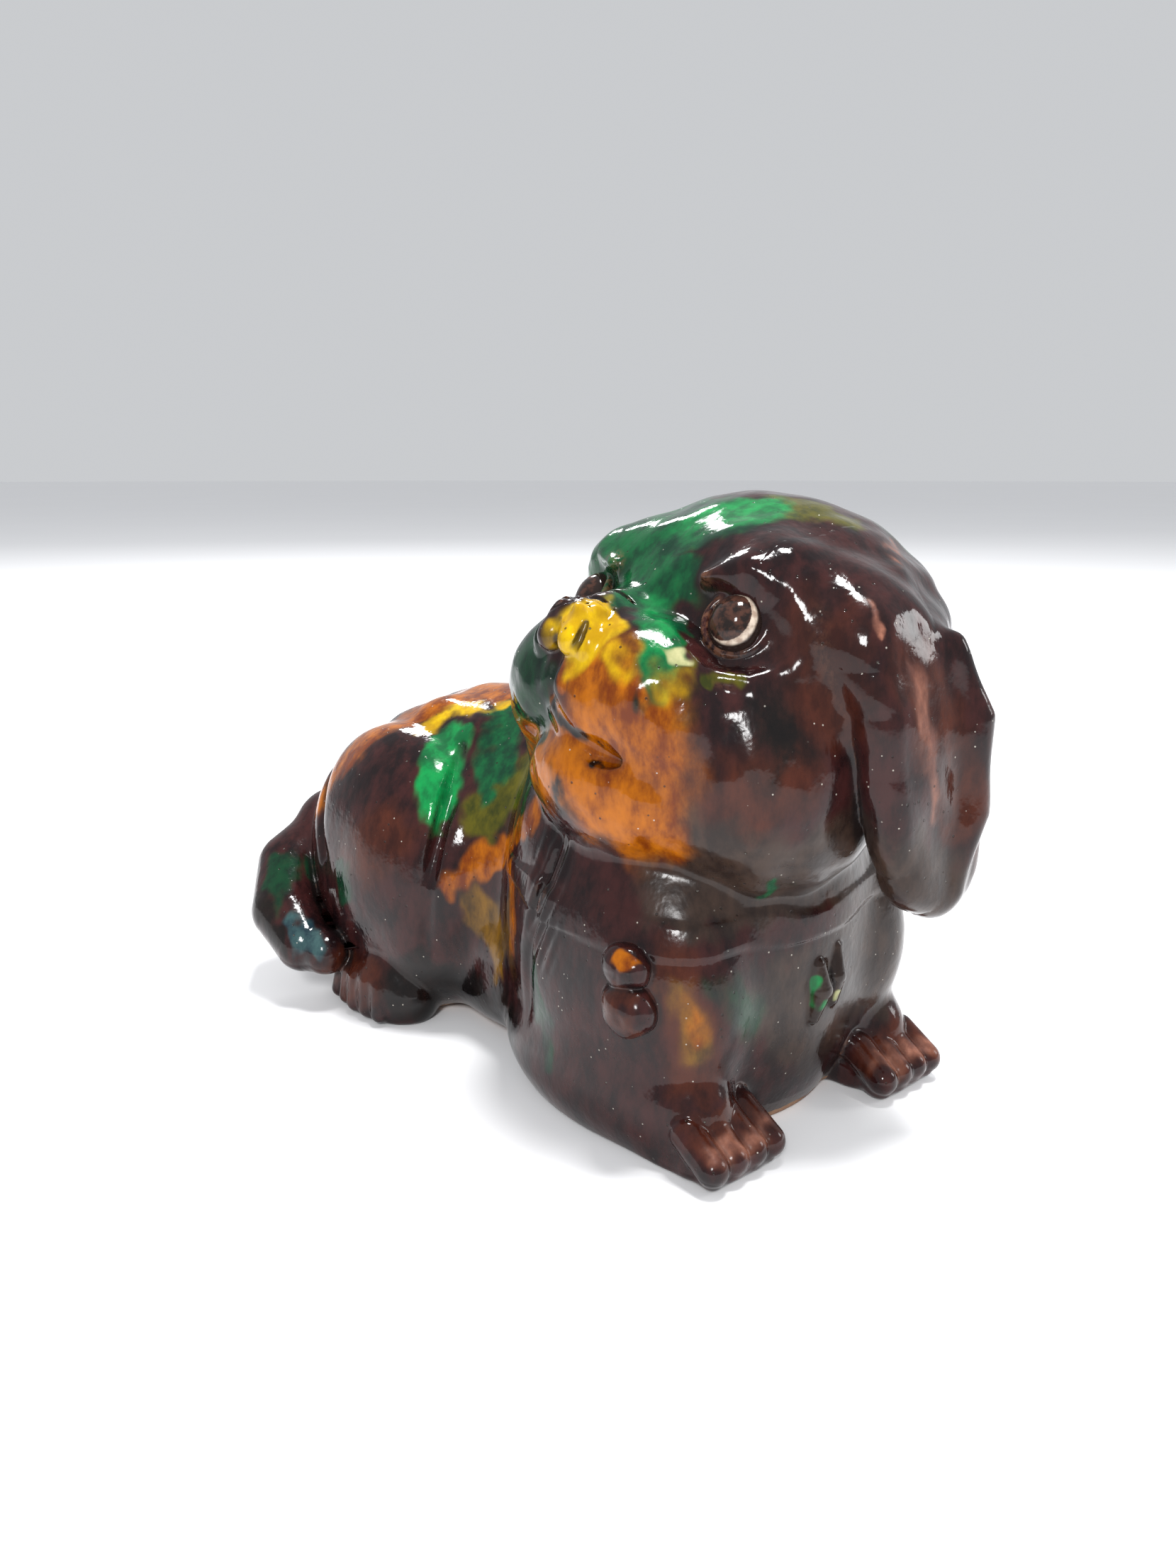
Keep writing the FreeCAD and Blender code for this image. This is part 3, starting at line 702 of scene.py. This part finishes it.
def face_labels(verts, faces):
    """The sub-part that each face belongs to."""
    def of_centres(part):
        _, forms, h = clay(part)
        left = part[:, 0] >= 0.0
        nearest = np.argmin(np.stack([forms[name] for name in FORM_NAMES]), 0)
        label = np.array(FORM_NAMES, dtype=object)[nearest]
        body = label == "body"
        label[body] = np.where(left[body], "body_left_half", "body_right_half")
        label[body & (forms["band"] > 0.5)] = "collar_band"
        from_vent = np.hypot(part[:, 0], part[:, 1] - VENT_REAR)
        vent = (from_vent < VENT_RADIUS + 1.5) & (part[:, 2] < VENT_DEPTH + 1.0)
        label[body & (part[:, 2] < SLAB_THICKNESS) | vent] = "base_slab"
        for name, sides in (("leg", "foreleg"), ("foot", "hind_paw")):
            label[label == name] = np.where(left[label == name], sides + "_left", sides + "_right")
        head = label == "head"
        label[head] = np.where(h[head, 1] < MOULD_SEAM_REAR, "head_face", "head_back")
        label[label == "nose"] = "nose_pad"
        return label
    labels = in_slices(of_centres, verts[faces].mean(1))
    names = sorted(set(labels))
    number = np.searchsorted(names, labels.astype(str))
    for _ in range(3):
        votes = np.zeros((len(verts), len(names)), dtype=np.float32)
        for corner in range(3):
            np.add.at(votes, (faces[:, corner], number), 1.0)
        number = votes[faces].sum(1).argmax(1)
    return names, number


# Everything below is in metres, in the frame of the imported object.
MILLIMETRE = 0.001
CLOSING_DEPTH = 7.5
MID_PLANE = 0.5 * (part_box("base_slab")[0].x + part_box("base_slab")[1].x)
PAW_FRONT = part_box("foreleg_left")[0].y
SLOTS = {
    "body_glaze": ("body_left_half", "body_right_half"),
    "head_glaze": ("head_face", "head_back", "nose_pad"),
    "ear_glaze": ("ear_left", "ear_right"),
    "eye_glaze": ("eye_left", "eye_right"),
    "collar_glaze": ("collar_band",),
    "pendant_glaze": ("bell", "bell_knot", "tassel"),
    "tail_glaze": ("tail",),
    "paw_glaze": ("foreleg_left", "foreleg_right", "hind_paw_left", "hind_paw_right"),
    "bare_clay": ("base_slab",),
}


def in_frame(points):
    """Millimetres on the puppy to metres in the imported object's frame."""
    return np.asarray(points, dtype=float) * MILLIMETRE + np.array([MID_PLANE, PAW_FRONT, 0.0])


def set_inputs(tree, node, inputs):
    """Gives a shader node its inputs, each a value or another node's output."""
    for name, value in inputs.items():
        if isinstance(value, bpy.types.NodeSocket):
            tree.links.new(value, node.inputs[name])
        else:
            node.inputs[name].default_value = value


def add_node(tree, kind, inputs=(), **settings):
    """A new shader node with its settings and its inputs."""
    node = tree.nodes.new(kind)
    for name, value in settings.items():
        setattr(node, name, value)
    set_inputs(tree, node, dict(inputs))
    return node


def arithmetic(tree, operation, *values):
    return add_node(tree, "ShaderNodeMath", enumerate(values), operation=operation).outputs[0]


def scaled(tree, value, factor):
    return arithmetic(tree, "MULTIPLY", value, factor)


def about_zero(tree, noise, factor):
    """A noise of 0 to 1 made to swing equally above and below nothing."""
    return scaled(tree, arithmetic(tree, "SUBTRACT", noise, 0.5), factor)


def blend_colour(tree, share, first, second):
    """From the first colour to the second by share; a colour is a triple or another node's output."""
    first, second = [c if isinstance(c, bpy.types.NodeSocket) else (*c, 1.0) for c in (first, second)]
    return add_node(tree, "ShaderNodeMix", {0: share, 6: first, 7: second}, data_type="RGBA").outputs[2]


def ramp_between(tree, value, low, high):
    """0 below low and 1 above high, eased."""
    node = add_node(tree, "ShaderNodeMapRange", {"Value": value, "From Min": low, "From Max": high},
                    interpolation_type="SMOOTHSTEP")
    return node.outputs["Result"]


def clay_noise(tree, size, detail=3.0, stretch=1.0, rough=0.55):
    """Noise with features about size millimetres wide, drawn out up and down by stretch."""
    spot = add_node(tree, "ShaderNodeTexCoord").outputs["Object"]
    drawn = add_node(tree, "ShaderNodeMapping", {"Vector": spot, "Scale": (1.0, 1.0, 1.0 / stretch)})
    node = add_node(tree, "ShaderNodeTexNoise", {
        "Vector": drawn.outputs[0], "Scale": 1.0 / (size * MILLIMETRE), "Detail": detail, "Roughness": rough})
    return node.outputs["Fac"]


def weight_of(tree, name):
    return add_node(tree, "ShaderNodeAttribute", attribute_name=name).outputs["Fac"]


GLAZE_SHINE = {"IOR": 1.43, "Specular IOR Level": 0.36}
# Glaze colours, thin and thick, in linear light.
GLAZES = {
    "rust": ((0.066, 0.016, 0.008), (0.026, 0.006, 0.004)),
    # Grey-brown: a greyer glaze, and partly a painted reflection of the room over the neck and chest.
    "smoke": ((0.042, 0.025, 0.018), (0.017, 0.010, 0.008)),
    "olive": ((0.085, 0.075, 0.004), (0.022, 0.027, 0.003)),
    "ochre": ((0.180, 0.085, 0.005), (0.050, 0.024, 0.003)),
    "amber": ((0.400, 0.112, 0.0001), (0.125, 0.021, 0.0001)),
    "deep": ((0.004, 0.036, 0.014), (0.003, 0.011, 0.007)),
    "green": ((0.003, 0.090, 0.026), (0.002, 0.026, 0.012)),
    "bright": ((0.004, 0.240, 0.055), (0.003, 0.090, 0.026)),
    "blue": ((0.040, 0.085, 0.085), (0.010, 0.024, 0.034)),
    "yellow": ((0.680, 0.450, 0.0006), (0.380, 0.210, 0.0004)),
    # Near black: kiln soot in places, and painted shade along the bottom of the puppy's right side.
    "soot": ((0.010, 0.006, 0.005), (0.004, 0.003, 0.003)),
    # Pinkish tan: rubbed glaze in places, and painted highlights on the near ear and the forepaw knuckles.
    "wear": ((0.330, 0.135, 0.085), (0.120, 0.045, 0.032)),
    "pale": ((0.450, 0.430, 0.220), (0.240, 0.260, 0.110)),
}
AUBERGINE = ((0.036, 0.010, 0.0095), (0.008, 0.0036, 0.0042))


def sancai_colour(tree):
    """Aubergine ground with the splashed glazes over it, among them painted shade, painted highlights and a
    painted reflection, each mottled and broken at its edge.
    """
    mottle = clay_noise(tree, 3.2, detail=6.0, stretch=2.2, rough=0.6)
    broad = clay_noise(tree, 16.0, detail=3.0, stretch=1.5)
    grain = clay_noise(tree, 0.9, detail=4.0, stretch=1.5, rough=0.65)
    thick = arithmetic(tree, "ADD", scaled(tree, mottle, 0.65), scaled(tree, broad, 0.35))
    thick = ramp_between(tree, thick, 0.36, 0.62)
    colour = blend_colour(tree, thick, *AUBERGINE)
    broken = arithmetic(tree, "ADD", about_zero(tree, mottle, 0.9), about_zero(tree, grain, 0.7))
    for paint, (thin_colour, thick_colour) in GLAZES.items():
        shade = blend_colour(tree, thick, thin_colour, thick_colour)
        weight = weight_of(tree, paint)
        level = arithmetic(tree, "ADD", weight, scaled(tree, broken, weight))
        colour = blend_colour(tree, ramp_between(tree, level, 0.05, 0.95), colour, shade)
    return colour, grain


def add_specks_and_shade(tree, colour, grain):
    """White pinpoints where bubbles burst, dark specks, and the creases darkened nearly to black, partly for
    glaze gathered there and partly as painted shade.
    """
    spot = add_node(tree, "ShaderNodeTexCoord").outputs["Object"]
    dots = add_node(tree, "ShaderNodeTexVoronoi", {"Vector": spot, "Scale": 1.0 / (1.5 * MILLIMETRE)})
    chance = add_node(tree, "ShaderNodeSeparateColor", {"Color": dots.outputs["Color"]})
    dot = scaled(tree, ramp_between(tree, dots.outputs["Distance"], 0.13, 0.07),
                 ramp_between(tree, chance.outputs["Red"], 0.80, 0.86))
    pit = scaled(tree, ramp_between(tree, dots.outputs["Distance"], 0.20, 0.12),
                 ramp_between(tree, chance.outputs["Green"], 0.86, 0.90))
    colour = blend_colour(tree, scaled(tree, dot, 0.55), colour, (0.62, 0.58, 0.50))
    colour = blend_colour(tree, scaled(tree, pit, 0.75), colour, (0.012, 0.008, 0.006))
    # Painted shade: the creases are darkened nearly to black, partly for glaze gathered in them and partly
    # for the shade that falls there.
    pooled_glaze_and_shade = ramp_between(tree, weight_of(tree, "crease"), 0.12, 0.75)
    colour = blend_colour(tree, scaled(tree, pooled_glaze_and_shade, 0.82), colour, (0.009, 0.007, 0.007))
    thin = scaled(tree, ramp_between(tree, weight_of(tree, "ridge"), 0.30, 0.85),
                  ramp_between(tree, grain, 0.40, 0.62))
    colour = blend_colour(tree, scaled(tree, thin, 0.35), colour, (0.30, 0.13, 0.07))
    return colour, arithmetic(tree, "MAXIMUM", dot, pit)


def glaze_relief(tree, pits):
    """Bump for the slight orange-peel of fired glaze and its burst bubbles."""
    ripple = clay_noise(tree, 2.4, detail=2.0, stretch=1.3)
    skin = clay_noise(tree, 0.5, detail=2.0)
    height = arithmetic(tree, "ADD", ripple, scaled(tree, skin, 0.10))
    height = arithmetic(tree, "SUBTRACT", height, scaled(tree, pits, 0.35))
    return add_node(tree, "ShaderNodeBump", {
        "Height": height, "Strength": 0.55, "Distance": 0.20 * MILLIMETRE}).outputs["Normal"]


def new_material(name):
    material = bpy.data.materials.new(name)
    material.use_nodes = True
    return material, material.node_tree, material.node_tree.nodes["Principled BSDF"]


def glaze_material(name):
    """Glossy three-colour lead glaze over red clay."""
    material, tree, shader = new_material(name)
    colour, grain = sancai_colour(tree)
    colour, pits = add_specks_and_shade(tree, colour, grain)
    haze = ramp_between(tree, clay_noise(tree, 7.0, detail=4.0), 0.35, 0.70)
    rough = arithmetic(tree, "ADD", scaled(tree, haze, 0.09), 0.07)
    rough = arithmetic(tree, "ADD", rough, scaled(tree, weight_of(tree, "wear"), 0.22))
    rough = arithmetic(tree, "ADD", rough, scaled(tree, weight_of(tree, "smoke"), 0.10))
    set_inputs(tree, shader, {"Base Color": colour, "Roughness": rough, "Normal": glaze_relief(tree, pits)})
    set_inputs(tree, shader, GLAZE_SHINE)
    return material


def eye_material(name):
    """White slip under clear glaze, with a mottled brown pupil."""
    material, tree, shader = new_material(name)
    mottle = clay_noise(tree, 1.2, detail=5.0)
    grain = clay_noise(tree, 0.4, detail=3.0)
    white = blend_colour(tree, ramp_between(tree, mottle, 0.35, 0.65), (0.62, 0.52, 0.42), (0.34, 0.25, 0.19))
    brown = blend_colour(tree, ramp_between(tree, mottle, 0.38, 0.62),
                         (0.060, 0.026, 0.018), (0.014, 0.009, 0.008))
    level = arithmetic(tree, "ADD", weight_of(tree, "pupil"), about_zero(tree, grain, 0.5))
    colour = blend_colour(tree, ramp_between(tree, level, 0.35, 0.62), white, brown)
    rim = ramp_between(tree, weight_of(tree, "lid_shade"), 0.25, 0.85)
    colour = blend_colour(tree, rim, colour, (0.020, 0.012, 0.010))
    rough = arithmetic(tree, "ADD", scaled(tree, mottle, 0.08), 0.04)
    set_inputs(tree, shader, {"Base Color": colour, "Roughness": rough, **GLAZE_SHINE})
    return material


def bare_clay_material(name):
    """Unglazed red-buff stoneware, sooty at the edge and smooth from the worktop."""
    material, tree, shader = new_material(name)
    mottle = clay_noise(tree, 6.0, detail=5.0)
    grain = clay_noise(tree, 0.7, detail=5.0, rough=0.7)
    colour = blend_colour(tree, ramp_between(tree, mottle, 0.35, 0.65),
                          (0.330, 0.190, 0.110), (0.200, 0.095, 0.055))
    colour = blend_colour(tree, scaled(tree, ramp_between(tree, grain, 0.52, 0.70), 0.6), colour,
                          (0.080, 0.045, 0.030))
    dribble = arithmetic(tree, "ADD", weight_of(tree, "glazed"), about_zero(tree, mottle, 1.2))
    dribble = ramp_between(tree, dribble, 0.45, 0.55)
    colour = blend_colour(tree, dribble, colour, (0.022, 0.012, 0.011))
    rough = arithmetic(tree, "SUBTRACT", 0.86, scaled(tree, dribble, 0.72))
    bump = add_node(tree, "ShaderNodeBump", {"Height": grain, "Strength": 0.5, "Distance": 0.15 * MILLIMETRE})
    set_inputs(tree, shader, {"Base Color": colour, "Roughness": rough, "Normal": bump.outputs["Normal"]})
    return material


def add_object(name, data):
    """A new object that puts its data in the scene."""
    thing = bpy.data.objects.new(name, data)
    bpy.context.scene.collection.objects.link(thing)
    return thing


def make_object(name, verts, faces, normals, weights, material):
    """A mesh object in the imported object's frame, with smooth normals and its paint weights."""
    mesh = bpy.data.meshes.new(name)
    mesh.from_pydata(in_frame(verts).tolist(), [], faces)
    mesh.polygons.foreach_set("use_smooth", np.ones(len(mesh.polygons), dtype=bool))
    mesh.normals_split_custom_set_from_vertices(normals.tolist())
    for paint, level in weights.items():
        mesh.attributes.new(paint, "FLOAT", "POINT").data.foreach_set("value", level.astype(np.float32))
    mesh.materials.append(material)
    return add_object(name, mesh)


def open_edges(faces):
    """Directed edges of a patch that no neighbour of the patch shares."""
    edges = np.concatenate([np.stack([faces[:, i], faces[:, (i + 1) % 3]], 1) for i in range(3)])
    top = int(faces.max()) + 1
    key = edges[:, 0].astype(np.int64) * top + edges[:, 1]
    back = edges[:, 1].astype(np.int64) * top + edges[:, 0]
    return edges[~np.isin(key, back)]


def sink(points, depth):
    """Points moved deeper into the clay, away from its surface."""
    stride = 1.5
    points = np.array(points, dtype=np.float32)
    for _ in range(int(depth / stride)):
        points = points - stride * slope(points, 0.5)
    return points


def build_patch(name, verts, faces, normals, weights, material):
    """One sub-part cut from the shared surface and closed behind, so that it is a solid."""
    used, local = np.unique(faces, return_inverse=True)
    local = local.reshape(faces.shape)
    patch = verts[used]
    rim = open_edges(local)
    edge_verts = np.unique(rim)
    inner = sink(patch[edge_verts], CLOSING_DEPTH)
    apex = sink(inner.mean(0, keepdims=True), CLOSING_DEPTH)
    a, b = rim[:, 0], rim[:, 1]
    deep_a = len(patch) + np.searchsorted(edge_verts, a)
    deep_b = len(patch) + np.searchsorted(edge_verts, b)
    last = np.full(len(rim), len(patch) + len(inner))
    closed = np.concatenate([local, np.stack([b, a, deep_a], 1), np.stack([b, deep_a, deep_b], 1),
                             np.stack([deep_b, deep_a, last], 1)])
    hidden = np.zeros(len(inner) + 1)
    levels = {paint: np.concatenate([level[used], hidden]) for paint, level in weights.items()}
    turned = np.concatenate([normals[used], -slope(inner, 0.5), [[0.0, 0.0, 1.0]]])
    return make_object(name, np.concatenate([patch, inner, apex]), closed.tolist(), turned, levels, material)


def unit(direction):
    return np.array(direction) / np.linalg.norm(direction)


def build_eye(name, side, material):
    """A pellet of clay pressed into its socket: taller than wide, a little uneven and flattened in front."""
    rings, spokes = 48, 64
    middle = np.array(EYE_MIDDLE) * [side, 1, 1]
    radii = np.array(EYE_RADII)
    polar = np.linspace(0.0, math.pi, rings + 1)[1:-1]
    round_angle = np.arange(spokes) * 2.0 * math.pi / spokes
    polar, round_angle = [a.ravel() for a in np.meshgrid(polar, round_angle, indexing="ij")]
    across = np.sin(polar)
    aim = np.stack([across * np.cos(round_angle), across * np.sin(round_angle), np.cos(polar)], 1)
    aim = np.concatenate([aim, [[0.0, 0.0, 1.0], [0.0, 0.0, -1.0]]])
    front = unit((EYE_FRONT[0] * side, *EYE_FRONT[1:]))
    facing = aim @ front
    swell = 1.0 - 0.05 * np.clip(facing, 0.0, 1.0) ** 4 + 0.010 * wobble(aim * 4.0, 2.6, 31)
    local = middle + aim * radii * swell[:, None]
    verts = local @ HEAD_POSE.T + HEAD_MIDDLE
    top, bottom = len(aim) - 2, len(aim) - 1
    faces = [(j, (j + 1) % spokes, top) for j in range(spokes)]
    for i in range(rings - 2):
        for j in range(spokes):
            a, b = i * spokes + j, i * spokes + (j + 1) % spokes
            faces.append((a, a + spokes, b + spokes, b))
    last = (rings - 2) * spokes
    faces += [(last + j, bottom, last + (j + 1) % spokes) for j in range(spokes)]
    normals = aim / radii
    normals = normals / np.linalg.norm(normals, axis=1, keepdims=True) @ HEAD_POSE.T
    gaze = unit((EYE_GAZE[0] * side, *EYE_GAZE[1:]))
    pupil = np.clip((aim @ gaze - PUPIL_EDGE) / 0.14, 0.0, 1.0)
    lid_shade = np.clip((LID_EDGE - facing) / 0.20, 0.0, 1.0)
    return make_object(name, verts, faces, normals, {"pupil": pupil, "lid_shade": lid_shade}, material)


def build_puppy(materials):
    """Every sub-part as a piece, by the name of the node it stands for."""
    cell = CELL
    verts, faces = puppy_mesh(cell)
    normals = slope(verts, SLOPE_REACH)
    names, number = face_labels(verts, faces)
    weights = paint_weights(verts)
    # The crease level also darkens the colour as painted shade.
    weights["crease"], weights["ridge"] = creases_and_ridges(verts, normals, CREASE_AND_RIDGE_REACH)
    weights["glazed"] = np.clip(verts[:, 2] / 3.0, 0.0, 1.0)
    pieces = {}
    for index, name in enumerate(names):
        pieces[name] = build_patch(name + "_glazed", verts, faces[number == index], normals, weights,
                                   materials[name])
    for side, name in ((1, "eye_left"), (-1, "eye_right")):
        pieces[name] = build_eye(name + "_glazed", side, materials[name])
    return pieces


def build_materials():
    """One material for each slot, shared by the nodes that take it."""
    by_node = {}
    for slot_name, nodes in SLOTS.items():
        if slot_name == "eye_glaze":
            material = eye_material(slot_name)
        elif slot_name == "bare_clay":
            material = bare_clay_material(slot_name)
        else:
            material = glaze_material(slot_name)
        for node in nodes:
            by_node[node] = material
    return by_node


def dress_frame():
    """Puts every piece in place of its node."""
    pieces = build_puppy(build_materials())
    for slot_name, nodes in SLOTS.items():
        for node in nodes:
            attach(pieces[node], "root")
            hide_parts(node)


CAMERA_PLACE = (-154.35, -113.4, 115.2)
CAMERA_PITCH = math.radians(75.0)
CAMERA_TURN = math.radians(-40.0)
CAMERA_LENS = 26.85
CAMERA_SENSOR = 36.0


def add_camera():
    """Half-turned to the puppy's right front and looking down a little."""
    data = bpy.data.cameras.new("camera")
    data.sensor_fit = "VERTICAL"
    data.sensor_height = CAMERA_SENSOR
    data.lens = CAMERA_LENS
    data.clip_start = 0.01
    camera = add_object("camera", data)
    camera.location = in_frame(CAMERA_PLACE)
    camera.rotation_euler = (CAMERA_PITCH, 0.0, CAMERA_TURN)
    bpy.context.scene.camera = camera


def add_floor():
    """A plain pale floor, wide enough to run out of sight."""
    reach, spokes = 14.0, 64
    turns = [2.0 * math.pi * j / spokes for j in range(spokes)]
    mesh = bpy.data.meshes.new("floor")
    verts = [(reach * math.cos(turn), reach * math.sin(turn), 0.0) for turn in turns]
    mesh.from_pydata(verts, [], [tuple(range(spokes))])
    material, tree, shader = new_material("floor")
    tint = blend_colour(tree, clay_noise(tree, 300.0), (0.92, 0.92, 0.93), (0.95, 0.95, 0.96))
    set_inputs(tree, shader, {"Base Color": tint, "Roughness": 0.9})
    mesh.materials.append(material)
    add_object("floor", mesh)


# Each lamp: its place and its size in metres, and its power in watts.
LAMPS = {
    "overhead": ((0.15, -0.10, 1.30), (0.30, 0.30), 19.0),
    "window": ((-0.85, -0.75, 0.80), (0.20, 0.28), 9.0),
    "fill": ((0.95, -0.65, 0.50), (0.30, 0.40), 3.0),
    "back": ((0.55, 1.00, 0.95), (0.30, 0.30), 6.0),
}
LAMP_AIM = Vector((0.0, 0.0, 0.05))
ROOM_COLOUR = (0.95, 0.97, 1.0, 1.0)
ROOM_LIGHT = 0.62


def add_lamp(name, place, size, power):
    data = bpy.data.lights.new(name, "AREA")
    data.shape = "RECTANGLE"
    data.size, data.size_y = size
    data.energy = power
    lamp = add_object(name, data)
    lamp.location = place
    lamp.rotation_euler = (LAMP_AIM - Vector(place)).to_track_quat("-Z", "Y").to_euler()


def add_lights():
    """A soft lamp overhead, a window to the puppy's right front, a weak fill and one behind."""
    for name, (place, size, power) in LAMPS.items():
        add_lamp(name, place, size, power)
    world = bpy.data.worlds.new("room")
    world.use_nodes = True
    background = world.node_tree.nodes["Background"]
    background.inputs["Color"].default_value = ROOM_COLOUR
    background.inputs["Strength"].default_value = ROOM_LIGHT
    bpy.context.scene.world = world


def plain_tones():
    """The colours of the picture are the colours of the light, with no film curve over them."""
    bpy.context.scene.view_settings.view_transform = "Standard"


dress_frame()
add_floor()
add_lights()
plain_tones()
add_camera()
